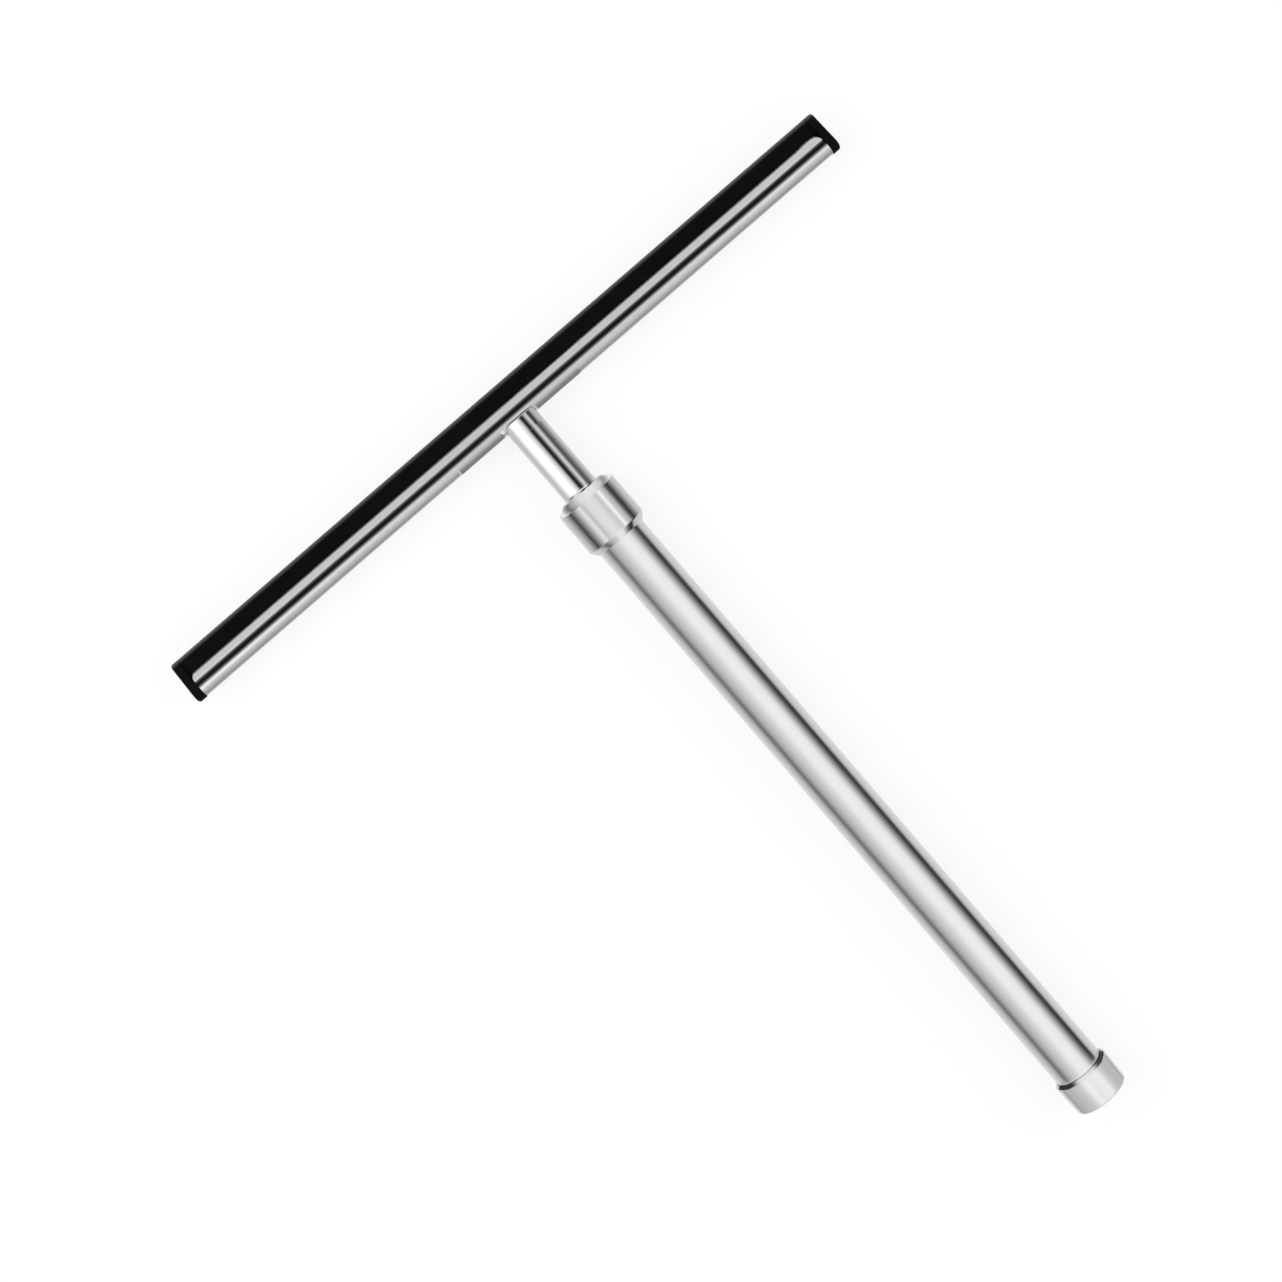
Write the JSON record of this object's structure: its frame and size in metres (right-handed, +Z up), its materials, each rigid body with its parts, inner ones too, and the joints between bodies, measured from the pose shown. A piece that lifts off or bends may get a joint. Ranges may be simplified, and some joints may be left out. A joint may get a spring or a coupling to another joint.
{
  "type": "squeegee",
  "caption": "T-shaped steel squeegee with a rubber strip in a folded channel and a telescopic, twist-locked round handle.",
  "frame": {"origin": "On the surface that the squeegee lies on, under the middle of its whole length and of its blade.", "axes": "+Y from the handle to the rubber's edge, +X along the blade to the right, +Z up from the surface that it lies on"},
  "size_m": [0.28, 0.316, 0.0227],
  "materials": {
    "polished_steel": "mirror-polished stainless steel",
    "satin_steel": "satin stainless steel",
    "plain_steel": "plain turned steel",
    "black_rubber": "smooth matt black rubber",
    "black_plastic": "fine matt moulded black plastic",
    "white_nylon": "natural nylon"
  },
  "bodies": {
    "handle": {"handle_tube": "satin_steel", "guide_bush": "white_nylon", "collar": "polished_steel", "handle_cup": "satin_steel", "cup_plug": "black_plastic"},
    "lock_sleeve": {"expander_sleeve": "white_nylon", "drag_ring": "black_rubber"},
    "lock_cone": {"expander_cone": "plain_steel"},
    "head": {"blade_channel": "polished_steel", "rubber_blade": "black_rubber", "end_cap_left": "black_plastic", "end_cap_right": "black_plastic", "inner_tube": "polished_steel", "neck_plug": "plain_steel", "lock_plug": "white_nylon", "plug_pin": "plain_steel", "lock_stud": "plain_steel", "stud_clip": "plain_steel"}
  },
  "joints": [
    {"name": "telescope_slide", "type": "slide", "parent": "handle", "child": "lock_sleeve", "axis": [0, 1, 0], "range_m": [0, 0.19]},
    {"name": "head_twist", "type": "hinge", "parent": "lock_sleeve", "child": "head", "pos_m": [0, 0.1427, 0.01135], "axis": [0, 1, 0], "range_deg": [0, 180]},
    {"name": "cone_travel", "type": "slide", "parent": "lock_sleeve", "child": "lock_cone", "axis": [0, -1, 0], "range_m": [0, 0.001]}
  ],
  "couplings": [
    {"joint": "cone_travel", "follows": "head_twist", "m_per_rad": 0.00031831}
  ]
}
